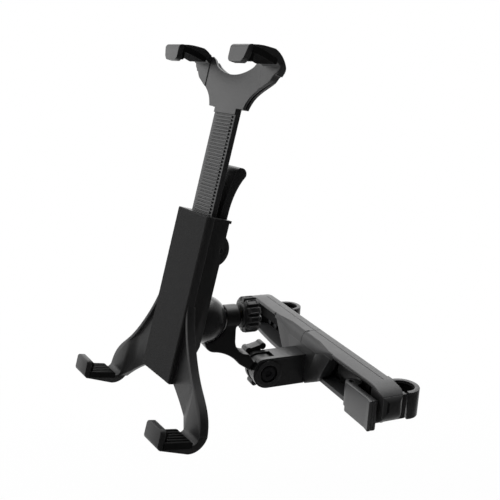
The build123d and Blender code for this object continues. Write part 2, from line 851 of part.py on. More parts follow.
def lower_arm():
    face = arm_outline()
    inner_end = lower_hook_u - lower_hook_width / 2
    tip_u = lower_hook_u + lower_hook_width / 2
    arm = through_y(face, lower_arm_front, lower_arm_back)
    band = face - Pos(-lower_rim_shift, -lower_rim_shift) * face
    arm += through_y(band, lower_rim_front, lower_arm_front)
    thick = outline(
        (inner_end - lower_ramp, lower_arm_front),
        (inner_end, lower_rim_front),
        (far, lower_rim_front),
        (far, lower_arm_front),
    )
    arm += through_y(face, lower_rim_front, lower_arm_front) & through_z(thick, -far, 0)
    hook = through_x(lower_hook_profile(), inner_end, tip_u)
    front = rounded_end(lower_hook_u, lower_hook_width, -far, lower_lip_top, True)
    lip_back = -lower_hook_reach + hook_wall
    lip = hook & through_y(front, -lower_hook_reach - 1, lip_back)
    return arm + lip + (hook & box(0, far, lip_back, far, -far, 0))


def housing_screw_points():
    side = (channel_half_width + half_shell) / 2
    return [(sign * side, v) for sign in (-1, 1) for v in (shell_screw_high, shell_screw_low)]


def rear_shell():
    side = outline(
        (shell_split, half_pad),
        (shell_back + shell_lip, half_pad),
        (shell_back + shell_lip, half_pad - shell_lip_height),
        (shell_back, half_pad - shell_lip_height),
        (shell_back, shell_taper_start),
        (shell_taper_end, -half_pad),
        (shell_split, -half_pad),
    )
    ear_low = (shell_back, lever_pivot_v - ear_half_length)
    ear_high = (shell_back, lever_pivot_v + ear_half_length)
    bulge = ThreePointArc(ear_low, (shell_back + ear_bulge, lever_pivot_v), ear_high)
    side += make_face(bulge + Line(ear_high, ear_low))
    shell = through_x(side, -half_shell, half_shell)
    channel = channel_half_width
    channel_floor = -half_pad + shell_bottom_wall
    shell -= box(-channel, channel, shell_split, rack_back + slide_gap, channel_floor, half_pad)
    cavity = lever_half_width + lever_side_gap
    shell -= box(-cavity, cavity, rack_back, shell_back - shell_back_wall, rack_bottom, half_pad)
    shell -= box(-cavity, cavity, rack_back, far, rack_bottom + lever_opening, half_pad)
    shell -= rod_x(lever_pin_radius, -half_shell, half_shell, lever_pivot_w, lever_pivot_v)
    for u, v in housing_screw_points():
        shell -= rod_y(screw_radius, shell_split, shell_back, u, v)
        shell -= rod_y(screw_head_radius, shell_back - screw_head_height - shell_screw_sink, shell_back, u, v)
    head_top = rack_back + slide_gap + screw_head_height
    for u, v in ball_screw_points():
        shell -= rod_y(screw_radius, rack_back, shell_back, u, v + ball_v)
        shell -= rod_y(screw_head_radius, rack_back, head_top, u, v + ball_v)
    return place_cradle(shell)


def front_shell():
    shell = box(-pad_width / 2, pad_width / 2, pad_thickness, shell_split, -half_pad, half_pad)
    arm = lower_arm()
    shell += arm
    shell += mirrored(arm)
    for u, v in housing_screw_points():
        shell -= rod_y(screw_radius, shell_split - shell_screw_bite, shell_split, u, v)
    return place_cradle(shell)


def front_pad():
    return place_cradle(box(-pad_width / 2, pad_width / 2, 0, pad_thickness, -half_pad, half_pad))


def housing_screws():
    one = Rot(-90, 0, 0) * screw(shell_split - shell_screw_bite, shell_back - shell_screw_sink)
    return Compound(children=[place_cradle(Pos(u, 0, v) * one) for u, v in housing_screw_points()])


def ball_screws():
    tip = shell_back + ball_floor - ball_screw_cover
    one = Rot(-90, 0, 0) * screw(tip, rack_back + slide_gap)
    return Compound(children=[place_cradle(Pos(u, 0, v + ball_v) * one) for u, v in ball_screw_points()])


def comb(width):
    half = width / 2
    edge = half + hook_pad_overlap
    pitch = 2 * edge / (hook_pad_ridges - 1 + hook_pad_land)
    low = hook_pad - hook_pad_ridge
    ridges = []
    for i in range(hook_pad_ridges):
        start = -edge + i * pitch
        end = start + hook_pad_land * pitch
        ridges.append((start, low))
        ridges.append((start, hook_pad))
        ridges.append((end, hook_pad))
        ridges.append((end, low))
    skirt = -hook_pad_skirt
    right = [(edge, skirt), (half, skirt), (half, 0)]
    left = [(-half, 0), (-half, skirt), (-edge, skirt)]
    return outline(*ridges, *right, *left)


def lower_pad():
    lip_back = -lower_hook_reach + hook_wall
    half = lower_hook_width / 2 - hook_pad_short
    section = Pos(lower_hook_u, lower_hook_floor) * comb(lower_hook_width)
    pad = through_y(section, lip_back, lower_rim_front - hook_fillet)
    stop = lower_lip_top - hook_pad_short
    left = lower_hook_u - half
    right = lower_hook_u + half
    return pad + box(left, right, lip_back, lip_back + hook_pad, lower_hook_floor, stop)


def upper_pad():
    lip_back = -upper_hook_reach + hook_wall
    half = upper_hook_width / 2 - hook_pad_short
    section = Pos(upper_hook_u, upper_ceiling) * mirror(comb(upper_hook_width), about=Plane.XZ)
    pad = through_y(section, lip_back, fork_front - hook_fillet)
    stop = upper_lip_bottom + hook_pad_short
    left = upper_hook_u - half
    right = upper_hook_u + half
    return pad + box(left, right, lip_back, lip_back + hook_pad, stop, upper_ceiling)


# Rack and upper fork

def rack():
    top = fork_base + 2
    valley = rack_front + ridge_depth
    count = int((fork_base - rack_plain - rack_bottom) / ridge_pitch)
    ridge_top = rack_bottom + count * ridge_pitch
    ridges = []
    teeth = []
    for i in range(count):
        low = rack_bottom + i * ridge_pitch
        ridges.append((rack_front, low))
        ridges.append((rack_front, low + ridge_pitch * 0.5))
        ridges.append((valley, low + ridge_pitch * 0.6))
        ridges.append((valley, low + ridge_pitch * 0.95))
        teeth.append((rack_back, low + ridge_pitch * 0.1))
        teeth.append((rack_back - ridge_depth, low + ridge_pitch * 0.95))
    teeth.reverse()
    head = [(rack_front, ridge_top), (rack_front, top), (rack_back, top), (rack_back, ridge_top)]
    profile = outline(*ridges, *head, *teeth, (rack_back, rack_bottom))
    half = rack_width / 2
    inner = half - rack_rail
    bar = through_x(profile, -inner, inner)
    side = outline((valley, rack_bottom), (valley, ridge_top), *head, (rack_back, rack_bottom))
    bar += through_x(side, -half, -inner)
    return bar + through_x(side, inner, half)


def fork_face(inset=0.0):
    low = fork_base + inset
    high = fork_top - inset
    valley = fork_valley - inset
    ear = fork_ear - inset
    foot = fork_base_half_width - inset
    ear_inner = upper_hook_u - upper_hook_width / 2 + inset
    bottom = ThreePointArc((0, valley), (11, valley + 1.9), (20.5, valley + 7.4))
    rise = Spline((20.5, valley + 7.4), (ear_inner, high - 1.0), (ear_inner + 5, high))
    crown = Line((ear_inner + 5, high), (ear - 8, high))
    corner = ThreePointArc((ear - 8, high), (ear - 2.0, high - 2.9), (ear, high - 9))
    side = Spline((ear, high - 9), (ear - 4.6, high - 15.6), (foot + 12.5, low + 13), (foot, low))
    base = Polyline((foot, low), (0, low), (0, valley))
    half = make_face(bottom + rise + crown + corner + side + base)
    return half + mirror(half, about=Plane.YZ)


def upper_crown():
    start = fork_back - upper_crown_run
    return EllipticalCenterArc((start, fork_top - upper_crown_drop), upper_crown_run, upper_crown_drop, 0)


def upper_hook_profile():
    front = fork_front
    ceiling = upper_ceiling
    reach = -upper_hook_reach
    top_front = ceiling + hook_wall - 1.6
    crown_low = fork_top - upper_crown_drop
    low = crown_low - 2
    roof = Line((fork_back - upper_crown_run, fork_top), (reach + 3, top_front))
    toe = ThreePointArc((reach + 3, top_front), (reach + 0.7, top_front - 0.9), (reach, top_front - 3))
    lip = Polyline(
        (reach, top_front - 3),
        (reach, upper_lip_bottom),
        (reach + hook_wall, upper_lip_bottom),
        (reach + hook_wall, ceiling),
        (front - hook_fillet, ceiling),
    )
    bend = (front - 1.2, ceiling - 1.2)
    hollow = ThreePointArc((front - hook_fillet, ceiling), bend, (front, ceiling - hook_fillet))
    close = Polyline((front, ceiling - hook_fillet), (front, low), (fork_back, low), (fork_back, crown_low))
    return make_face(upper_crown() + roof + toe + lip + hollow + close)


def fork_plate():
    whole = fork_face()
    core = fork_face(fork_groove_depth)
    groove_low = fork_front + 1.5
    groove_high = groove_low + fork_groove_width
    plate = through_y(whole, fork_front, fork_back)
    plate -= through_y(whole, groove_low, groove_high)
    plate += through_y(core, groove_low, groove_high)
    step = through_y(whole, fork_front - fork_step, fork_front)
    inner = upper_hook_u - upper_hook_width / 2
    plate += step & box(inner, far, -far, far, 0, far)
    plate += step & box(-far, -inner, -far, far, 0, far)
    start = fork_back - upper_crown_run
    past = fork_back + 1
    over = Polyline((start, fork_top), (start, fork_top + 1), (past, fork_top + 1),
                    (past, fork_top - upper_crown_drop), (fork_back, fork_top - upper_crown_drop))
    return plate - through_x(make_face(upper_crown() + over), -far, far)


def upper_hook():
    half = upper_hook_width / 2
    hook = through_x(upper_hook_profile(), upper_hook_u - half, upper_hook_u + half)
    lip_back = -upper_hook_reach + hook_wall
    front = rounded_end(upper_hook_u, upper_hook_width, upper_lip_bottom, fork_top + 10, False)
    lip = hook & through_y(front, -upper_hook_reach - 1, lip_back)
    roof = hook & box(0, far, lip_back, far, 0, far)
    return lip + roof


def slider_fork():
    hook = upper_hook()
    return place_cradle(fork_plate() + hook + mirrored(hook) + rack())


# Release lever

def release_lever():
    hub = (lever_pivot_w, lever_pivot_v)
    hub_front = (lever_pivot_w - lever_hub_radius, lever_pivot_v)
    hub_back = (lever_pivot_w + lever_hub_radius, lever_pivot_v)
    tip_front = (lever_pivot_w + 0.5, lever_tip_v - 2)
    tip_back = (lever_pivot_w + 8.4, lever_tip_v - 2.5)
    waist = (lever_pivot_w + 3.0, lever_tip_v - 17)
    front = Spline(hub_front, (lever_pivot_w - 3.1, lever_pivot_v + 21.7), tip_front)
    tip = ThreePointArc(tip_front, (lever_pivot_w + 4.4, lever_tip_v + 2.2), tip_back)
    back = Spline(tip_back, waist, (lever_pivot_w + 2.4, lever_pivot_v + 14), hub_back)
    base = Line(hub_back, hub_front)
    handle = through_x(make_face(front + tip + back + base), -lever_half_width, lever_half_width)
    handle += rod_x(lever_hub_radius, -lever_half_width, lever_half_width, *hub)
    tooth = rack_back + pawl_gap
    tail = outline(
        hub_front,
        hub,
        (lever_pivot_w - 1.0, lever_pivot_v - 4.4),
        (tooth + 2.2, lever_pivot_v - 9.6),
        (tooth, lever_pivot_v - 9.6),
        (tooth, lever_pivot_v - 8.2),
        (tooth + 1.4, lever_pivot_v - 6.5),
    )
    half_pawl = rack_width / 2 - rack_rail - 0.6
    lever = handle + through_x(tail, -half_pawl, half_pawl)
    lever -= rod_x(lever_pin_radius + bore_clearance, -lever_half_width, lever_half_width, *hub)
    return place_cradle(lever)


def lever_pin():
    return place_cradle(rod_x(lever_pin_radius, -half_shell, half_shell, lever_pivot_w, lever_pivot_v))


def lever_spring():
    wall = shell_back - shell_back_wall
    low = rack_bottom + 0.3
    touch = rack_back + pawl_gap + 3.0
    strip = outline(
        (wall, low),
        (wall, low + 5),
        (touch + spring_strip, lever_pivot_v - 9.0),
        (touch, lever_pivot_v - 9.0),
        (wall - spring_strip, low + 5),
        (wall - spring_strip, low),
    )
    return place_cradle(through_x(strip, -spring_width / 2, spring_width / 2))


pieces = {
    "bar_body": bar_body(),
    "right_cover": top_cover(),
    "left_cover": mirrored(top_cover()),
    "cover_screws": cover_screws(),
    "left_claw": left_claw(),
    "left_liner": mirrored(claw_liner()),
    "left_claw_screws": left_claw_screws(),
    "clamp_block": clamp_block(),
    "right_claw": right_claw(),
    "right_liner": claw_liner(),
    "cam_lever": cam_lever(),
    "cam_pin": cam_pin(),
    "arm_block": arm_block(),
    "arm_screw": arm_screw(),
    "pivot_bolt": pivot_bolt(),
    "pivot_washer": pivot_washer(),
    "wing_nut": wing_nut(),
    "elbow_arm": elbow_arm(),
    "ball_bolt": ball_bolt(),
    "clamp_cup": clamp_cup(),
    "outer_washer": outer_washer(),
    "inner_washer": inner_washer(),
    "ball_dome": ball_dome(),
    "ball_screws": ball_screws(),
    "ball_knob": knob(),
    "knob_nut": knob_nut(),
    "rear_shell": rear_shell(),
    "front_shell": front_shell(),
    "front_pad": front_pad(),
    "housing_screws": housing_screws(),
    "slider_fork": slider_fork(),
    "release_lever": release_lever(),
    "lever_pin": lever_pin(),
    "lever_spring": lever_spring(),
    "lower_right_pad": place_cradle(lower_pad()),
    "lower_left_pad": place_cradle(mirrored(lower_pad())),
    "upper_right_pad": place_cradle(upper_pad()),
    "upper_left_pad": place_cradle(mirrored(upper_pad())),
}

os.makedirs("parts", exist_ok=True)
for name, shape in pieces.items():
    export_step(shape, f"parts/{name}.step")
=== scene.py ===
import json
import math
import random
import bmesh
import bpy
from mathutils import Matrix, Vector


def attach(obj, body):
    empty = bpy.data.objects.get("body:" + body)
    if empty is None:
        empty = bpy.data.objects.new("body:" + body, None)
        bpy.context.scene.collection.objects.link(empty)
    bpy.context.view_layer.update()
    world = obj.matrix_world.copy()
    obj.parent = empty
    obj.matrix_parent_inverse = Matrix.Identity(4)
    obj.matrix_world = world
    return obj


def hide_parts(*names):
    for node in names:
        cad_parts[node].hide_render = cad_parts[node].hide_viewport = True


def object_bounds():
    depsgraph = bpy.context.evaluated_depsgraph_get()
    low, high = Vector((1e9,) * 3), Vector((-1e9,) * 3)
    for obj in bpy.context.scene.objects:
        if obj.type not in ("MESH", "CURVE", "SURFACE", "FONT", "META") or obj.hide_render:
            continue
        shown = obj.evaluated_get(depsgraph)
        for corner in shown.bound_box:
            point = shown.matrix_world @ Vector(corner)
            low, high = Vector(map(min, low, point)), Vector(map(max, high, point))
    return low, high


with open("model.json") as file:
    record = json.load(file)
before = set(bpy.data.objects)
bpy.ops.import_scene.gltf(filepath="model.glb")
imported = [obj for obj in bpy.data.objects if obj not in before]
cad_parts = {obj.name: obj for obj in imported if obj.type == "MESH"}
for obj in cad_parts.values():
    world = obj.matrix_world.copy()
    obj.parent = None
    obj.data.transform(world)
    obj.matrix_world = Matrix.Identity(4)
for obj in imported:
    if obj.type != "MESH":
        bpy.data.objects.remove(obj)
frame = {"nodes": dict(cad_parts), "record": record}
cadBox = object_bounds()
nodes = frame["nodes"]
mm = 0.001
print("frame loaded,", len(nodes), "nodes")


# shader sockets as Python values: maths on them adds Math nodes
class Flow:
    def __init__(self, tree, socket=None):
        self.tree = tree
        self.socket = socket

    def node(self, kind, settings=None, out=0, **sockets):
        made = self.tree.nodes.new(kind)
        for key, value in (settings or {}).items():
            setattr(made, key, value)
        for key, value in sockets.items():
            byNumber = key.startswith("in") and key[2:].isdigit()
            target = made.inputs[int(key[2:]) if byNumber else key.replace("_", " ")]
            if isinstance(value, Flow):
                self.tree.links.new(value.socket, target)
            else:
                target.default_value = value
        return Flow(self.tree, made.outputs[out])

    def maths(self, operation, first, second):
        return self.node("ShaderNodeMath", {"operation": operation}, in0=first, in1=second)

    def __add__(self, other):
        return self.maths("ADD", self, other)

    def __radd__(self, other):
        return self.maths("ADD", other, self)

    def __sub__(self, other):
        return self.maths("SUBTRACT", self, other)

    def __rsub__(self, other):
        return self.maths("SUBTRACT", other, self)

    def __mul__(self, other):
        return self.maths("MULTIPLY", self, other)

    def __rmul__(self, other):
        return self.maths("MULTIPLY", other, self)

    def clip(self):
        return self.node("ShaderNodeClamp", Value=self)

    def ease(self, low, high):
        settings = {"interpolation_type": "SMOOTHSTEP"}
        return self.node("ShaderNodeMapRange", settings, Value=self, From_Min=low, From_Max=high)


def newMaterial(name):
    material = bpy.data.materials.new(name)
    material.use_nodes = True
    tree = material.node_tree
    shader = tree.nodes["Principled BSDF"]
    return material, Flow(tree), shader


def feed(flow, shader, **sockets):
    for key, value in sockets.items():
        target = shader.inputs[key.replace("_", " ")]
        if isinstance(value, Flow):
            flow.tree.links.new(value.socket, target)
        else:
            target.default_value = value


# moulded black plastic: spark-eroded grain, faint flow mottling, and lighter rubbed edges (on the knob a painted
# highlight)
mouldedLook = dict(tone=0.012, edgeTone=0.05, rough=0.36, roughSwing=0.10, grainScale=2400.0,
                   grainDepth=0.00004, mottleScale=55.0, edgeRadius=0.0005, edgeGain=3.0, edgePolish=0.06,
                   specular=0.5)


def mouldedPlastic(name, **changes):
    look = {**mouldedLook, **changes}
    material, flow, shader = newMaterial(name)
    place = flow.node("ShaderNodeTexCoord", out="Object")
    grain = flow.node("ShaderNodeTexNoise", Vector=place, Scale=look["grainScale"], Detail=2.0, Roughness=0.6)
    mottle = flow.node("ShaderNodeTexNoise", Vector=place, Scale=look["mottleScale"], Detail=3.0,
                       Roughness=0.55)
    softNormal = flow.node("ShaderNodeBevel", {"samples": 4}, Radius=look["edgeRadius"])
    trueNormal = flow.node("ShaderNodeNewGeometry", out="True Normal")
    facing = flow.node("ShaderNodeVectorMath", {"operation": "DOT_PRODUCT"}, out="Value",
                       in0=softNormal, in1=trueNormal)
    edge = ((1 - facing) * look["edgeGain"]).clip()
    body = look["tone"] * (0.85 + mottle * 0.3)
    # edges lighten toward the edge tone: rubbed wear, and on the knob a painted highlight
    tone = body + edge * (look["edgeTone"] - look["tone"])
    colour = flow.node("ShaderNodeCombineColor", Red=tone, Green=tone, Blue=tone * 1.03)
    rough = look["rough"] + (mottle - 0.5) * look["roughSwing"] - edge * look["edgePolish"]
    bump = flow.node("ShaderNodeBump", Strength=1.0, Distance=look["grainDepth"], Height=grain,
                     Normal=softNormal)
    feed(flow, shader, Base_Color=colour, Roughness=rough.clip(), Normal=bump,
         Specular_IOR_Level=look["specular"])
    return material


# foam pad: close pebble grain with a dry, dusty top
padLook = dict(tone=0.019, pebbleScale=1300.0, pebbleDepth=0.00016, rough=0.74, specular=0.22)


def pebbledFoam(name):
    material, flow, shader = newMaterial(name)
    place = flow.node("ShaderNodeTexCoord", out="Object")
    pebble = flow.node("ShaderNodeTexVoronoi", Vector=place, Scale=padLook["pebbleScale"], Randomness=0.8)
    cloud = flow.node("ShaderNodeTexNoise", Vector=place, Scale=170.0, Detail=3.0)
    fibre = flow.node("ShaderNodeTexNoise", Vector=place, Scale=900.0, Detail=2.0, Roughness=0.7)
    tone = padLook["tone"] * (0.45 + pebble * 0.35 + cloud * 0.35 + fibre * 0.5)
    colour = flow.node("ShaderNodeCombineColor", Red=tone, Green=tone, Blue=tone * 1.02)
    bump = flow.node("ShaderNodeBump", Strength=0.8, Distance=padLook["pebbleDepth"], Height=1 - pebble)
    rough = padLook["rough"] + cloud * 0.12
    feed(flow, shader, Base_Color=colour, Roughness=rough.clip(), Normal=bump,
         Specular_IOR_Level=padLook["specular"])
    return material


# soft rubber of the hook pads and claw liners
rubberLook = dict(tone=0.006, rough=0.65, grainScale=1500.0, grainDepth=0.00006, specular=0.1)


def softRubber(name):
    material, flow, shader = newMaterial(name)
    place = flow.node("ShaderNodeTexCoord", out="Object")
    grain = flow.node("ShaderNodeTexNoise", Vector=place, Scale=rubberLook["grainScale"], Detail=2.0)
    dust = flow.node("ShaderNodeTexNoise", Vector=place, Scale=90.0, Detail=4.0)
    tone = rubberLook["tone"] * (0.8 + dust * 0.5)
    colour = flow.node("ShaderNodeCombineColor", Red=tone, Green=tone, Blue=tone)
    bump = flow.node("ShaderNodeBump", Strength=0.7, Distance=rubberLook["grainDepth"], Height=grain)
    rough = rubberLook["rough"] + dust * 0.1
    feed(flow, shader, Base_Color=colour, Roughness=rough.clip(), Normal=bump,
         Specular_IOR_Level=rubberLook["specular"])
    return material


# blackened steel and plain brass, with fine turning marks
def turnedMetal(name, red, green, blue, rough):
    material, flow, shader = newMaterial(name)
    place = flow.node("ShaderNodeTexCoord", out="Object")
    marks = flow.node("ShaderNodeTexNoise", Vector=place, Scale=700.0, Detail=3.0)
    fine = flow.node("ShaderNodeTexNoise", Vector=place, Scale=3000.0, Detail=1.0)
    shade = 0.8 + marks * 0.4
    colour = flow.node("ShaderNodeCombineColor", Red=shade * red, Green=shade * green, Blue=shade * blue)
    bump = flow.node("ShaderNodeBump", Strength=0.5, Distance=0.00003, Height=fine)
    feed(flow, shader, Base_Color=colour, Metallic=0.9, Roughness=(rough + marks * 0.12).clip(), Normal=bump)
    return material


finishes = {
    "plastic": mouldedPlastic("satinBlackPlastic"),
    "slider": mouldedPlastic("sliderPlastic", tone=0.02, rough=0.40),
    "bar": mouldedPlastic("barPlastic", tone=0.02, rough=0.40),
    "cam": mouldedPlastic("camPlastic", tone=0.05, rough=0.34),
    "arm": mouldedPlastic("armPlastic", tone=0.016, rough=0.22),
    # recess: a darker copy of the plastic, painted shade; floor: a lighter copy, painted light
    "recess": mouldedPlastic("recessPlastic", tone=0.006, rough=0.7, specular=0.1),
    "floor": mouldedPlastic("floorPlastic", tone=0.07, rough=0.45),
    "shell": mouldedPlastic("shellPlastic", tone=0.014, rough=0.42, specular=0.36),
    "elbow": mouldedPlastic("elbowPlastic", tone=0.007, rough=0.34),
    # the knob's much lighter edge tone is a painted highlight on its lobe edges
    "knob": mouldedPlastic("knobPlastic", tone=0.008, rough=0.42, edgeTone=0.2),
    "pad": pebbledFoam("pebbledFoamPad"),
    "rubber": softRubber("softBlackRubber"),
    "steel": turnedMetal("blackenedSteel", 0.05, 0.05, 0.053, 0.42),
    "brass": turnedMetal("plainBrass", 0.55, 0.42, 0.18, 0.32),
}
finishOfSlot = {"black_plastic": "plastic", "black_rubber": "rubber", "foam_pad": "pad", "steel": "steel",
                "brass": "brass"}
finishOfNode = {"front_shell": "shell", "ball_dome": "arm", "left_claw": "bar", "right_claw": "bar"}
for entry in frame["record"]["subparts"]:
    piece = nodes[entry["node"]]
    piece.data.materials.clear()
    finish = finishOfNode.get(entry["node"], finishOfSlot[entry["material_slot"]])
    piece.data.materials.append(finishes[finish])
print("finishes on", len(nodes), "nodes")


# rounded edges on the moulded pieces
def smoothShading():
    group = bpy.data.node_groups.new("smoothByAngle", "GeometryNodeTree")
    group.interface.new_socket("Geometry", in_out="INPUT", socket_type="NodeSocketGeometry")
    group.interface.new_socket("Geometry", in_out="OUTPUT", socket_type="NodeSocketGeometry")
    enter = group.nodes.new("NodeGroupInput")
    leave = group.nodes.new("NodeGroupOutput")
    angle = group.nodes.new("GeometryNodeInputMeshEdgeAngle")
    sharp = group.nodes.new("FunctionNodeCompare")
    sharp.operation = "GREATER_THAN"
    sharp.inputs[1].default_value = math.radians(edgeWork["sharpAngle"])
    faces = group.nodes.new("GeometryNodeSetShadeSmooth")
    edges = group.nodes.new("GeometryNodeSetShadeSmooth")
    edges.domain = "EDGE"
    edges.inputs["Shade Smooth"].default_value = False
    link = group.links.new
    link(enter.outputs[0], faces.inputs[0])
    link(faces.outputs[0], edges.inputs[0])
    link(angle.outputs[0], sharp.inputs[0])
    link(sharp.outputs[0], edges.inputs["Selection"])
    link(edges.outputs[0], leave.inputs[0])
    return group


edgeWork = dict(weld=2e-6, flatAngle=0.6, bevelAngle=28.0, width=0.35 * mm, segments=2, sharpAngle=32.0)
shadingGroup = smoothShading()


def smoothPiece(piece):
    shade = piece.modifiers.new("smoothByAngle", "NODES")
    shade.node_group = shadingGroup


def softenEdges(piece):
    weld = piece.modifiers.new("weld", "WELD")
    weld.merge_threshold = edgeWork["weld"]
    flat = piece.modifiers.new("flatten", "DECIMATE")
    flat.decimate_type = "DISSOLVE"
    flat.angle_limit = math.radians(edgeWork["flatAngle"])
    bevel = piece.modifiers.new("softEdge", "BEVEL")
    bevel.width = edgeWork["width"]
    bevel.segments = edgeWork["segments"]
    bevel.limit_method = "ANGLE"
    bevel.angle_limit = math.radians(edgeWork["bevelAngle"])
    bevel.use_clamp_overlap = True
    bevel.harden_normals = False
    smoothPiece(piece)


for piece in nodes.values():
    softenEdges(piece)
print("edges softened")


# meshes: a node's own solid, a plain list of faces, and two solids combined
def nodeCopy(node):
    work = bmesh.new()
    work.from_mesh(nodes[node].data)
    bmesh.ops.remove_doubles(work, verts=work.verts, dist=edgeWork["weld"])
    mesh = bpy.data.meshes.new(node + "Copy")
    work.to_mesh(mesh)
    work.free()
    return mesh


def plainMesh(points, faces):
    mesh = bpy.data.meshes.new("work")
    mesh.from_pydata([tuple(p) for p in points], [], faces)
    work = bmesh.new()
    work.from_mesh(mesh)
    bmesh.ops.recalc_face_normals(work, faces=work.faces)
    work.to_mesh(mesh)
    work.free()
    return mesh


def combined(mesh, other, operation):
    first = bpy.data.objects.new("first", mesh)
    second = bpy.data.objects.new("second", other)
    for piece in (first, second):
        bpy.context.collection.objects.link(piece)
    cut = first.modifiers.new("cut", "BOOLEAN")
    cut.operation = operation
    cut.object = second
    cut.solver = "EXACT"
    graph = bpy.context.evaluated_depsgraph_get()
    result = bpy.data.meshes.new_from_object(first.evaluated_get(graph))
    bpy.data.objects.remove(first)
    bpy.data.objects.remove(second)
    return result


# a mesh becomes a piece of a body, in place of a node or beside it
def placedPiece(name, mesh, finish, body, node=None):
    mesh.materials.clear()
    mesh.materials.append(finishes[finish])
    piece = bpy.data.objects.new(name, mesh)
    bpy.context.collection.objects.link(piece)
    if node:
        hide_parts(node)
    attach(piece, body)
    return piece


# rings of points joined into a closed skin
def skin(rings):
    count = len(rings[0])
    points = [p for ring in rings for p in ring]
    faces = []
    for row in range(len(rings) - 1):
        for col in range(count):
            a = row * count + col
            b = row * count + (col + 1) % count
            faces.append((a, b, b + count, a + count))
    last = (len(rings) - 1) * count
    faces.append(tuple(reversed(range(count))))
    faces.append(tuple(range(last, last + count)))
    return points, faces


def joined(parts):
    points = []
    faces = []
    for partPoints, partFaces in parts:
        start = len(points)
        points += partPoints
        faces += [tuple(start + i for i in face) for face in partFaces]
    return points, faces


# the cradle's own axes: u across, w back from the pad's face, v up from the pad's middle
cradle = dict(ball=(0, -102.9, 35.0), yaw=10.4, lean=13.1, ballW=25.8, ballV=-14.5)
cradleFrame = (Matrix.Translation(Vector(cradle["ball"]) * mm)
               @ Matrix.Rotation(math.radians(cradle["yaw"]), 4, "Z")
               @ Matrix.Rotation(math.radians(-cradle["lean"]), 4, "X")
               @ Matrix.Translation(Vector((0, -cradle["ballW"], -cradle["ballV"])) * mm))


def inCradle(u, w, v):
    return cradleFrame @ (Vector((u, w, v)) * mm)


# front pad: a foam sheet with a pebbled face and softly rounded rim
padSheet = dict(width=36.0, length=105.0, thick=1.4, step=0.75, rim=0.55, pebble=0.07, wander=0.12, seed=5)


def frontPad():
    dice = random.Random(padSheet["seed"])
    across = int(padSheet["width"] / padSheet["step"])
    along = int(padSheet["length"] / padSheet["step"])
    halfW = padSheet["width"] / 2
    halfL = padSheet["length"] / 2
    rim = padSheet["rim"]
    points = []
    faces = []
    for j in range(along + 1):
        for i in range(across + 1):
            u = -halfW + padSheet["width"] * i / across
            v = -halfL + padSheet["length"] * j / along
            inset = min(halfW - abs(u), halfL - abs(v))
            drop = rim - math.sqrt(max(rim ** 2 - (rim - min(inset, rim)) ** 2, 0))
            lift = padSheet["pebble"] * dice.random() if inset > rim else 0
            pull = padSheet["wander"] * dice.random() if inset < 0.01 else 0
            u -= math.copysign(pull, u) if halfW - abs(u) < 0.01 else 0
            v -= math.copysign(pull, v) if halfL - abs(v) < 0.01 else 0
            points.append(inCradle(u, padSheet["pebble"] + drop * 0.9 - lift, v))
    row = across + 1
    for j in range(along):
        for i in range(across):
            a = j * row + i
            faces.append((a, a + 1, a + row + 1, a + row))
    border = list(range(row))
    border += [j * row + across for j in range(1, along + 1)]
    border += [along * row + i for i in range(across - 1, -1, -1)]
    border += [j * row for j in range(along - 1, 0, -1)]
    start = len(points)
    for index in border:
        local = cradleFrame.inverted() @ points[index]
        points.append(cradleFrame @ Vector((local.x, padSheet["thick"] * mm, local.z)))
    count = len(border)
    for k in range(count):
        n = (k + 1) % count
        faces.append((border[k], border[n], start + n, start + k))
    faces.append(tuple(start + k for k in range(count)))
    pad = placedPiece("frontPadSheet", plainMesh(points, faces), "pad", "cradle", "front_pad")
    smoothPiece(pad)


# slider: each upper roof falls away behind its lip and runs into the fork, and the ear's step is shallow
roofForm = dict(inner=28.9, start=-13.0, end=8.0, drop=3.0, low=136.0, high=149.0,
                cuts=(-12, -9, -6, -3, 0, 3), stepFront=4.8, stepBack=5.0, stepCut=0.5,
                earHalf=46.7, earStart=38.0, earLow=138.0, earHigh=148.0, earPull=3.2)


def easeBetween(value, low, high):
    share = min(max((value - low) / (high - low), 0), 1)
    return share * share * (3 - 2 * share)


def roofDrop(w, v):
    look = roofForm
    share = easeBetween(w, look["start"], look["end"])
    return look["drop"] * share * easeBetween(v, look["low"], look["high"])


def shapedSlider():
    look = roofForm
    work = bmesh.new()
    mesh = nodeCopy("slider_fork")
    work.from_mesh(mesh)
    across = cradleFrame.to_3x3() @ Vector((0, 1, 0))
    for w in look["cuts"]:
        everything = work.verts[:] + work.edges[:] + work.faces[:]
        bmesh.ops.bisect_plane(work, geom=everything, plane_co=inCradle(0, w, 0), plane_no=across)
    toCradle = cradleFrame.inverted()
    for vert in work.verts:
        u, w, v = (toCradle @ vert.co) / mm
        proud = abs(u) > look["inner"] and look["stepFront"] < w < look["stepBack"]
        wide = min(abs(u), look["earHalf"])
        pull = easeBetween(wide, look["earStart"], look["earHalf"])
        pull *= 1 - easeBetween(v, look["earLow"], look["earHigh"])
        u = math.copysign(wide - look["earPull"] * pull, u)
        vert.co = inCradle(u, w + look["stepCut"] * proud, v - roofDrop(w, v))
    work.to_mesh(mesh)
    work.free()
    smoothPiece(placedPiece("slider_fork_shown", mesh, "slider", "slider", "slider_fork"))


# hook pads: ridged rubber that folds over the hook's floor and up behind its lip
hookPad = dict(thick=2.4, ridge=0.8, ridges=6, land=0.62, overlap=0.6, skirt=1.6, corner=0.2, round=0.42,
               taper=1.6, short=1.5, rows=(0, 0.2, 0.4, 0.6, 0.8, 1), backEnd=((0.4, 0.7), (0, 0.1)),
               lipEnd=((0.8, 1.0), (0.3, 0.75), (0, 0.2)))
hooks = {
    "lower": dict(u=52.8, width=16.6, lip=-21.4, back=-3.0, base=-71.5, stop=-63.5, up=1, body="cradle"),
    "upper": dict(u=38.0, width=17.4, lip=-14.8, back=1.8, base=148.2, stop=141.5, up=-1, body="slider"),
}


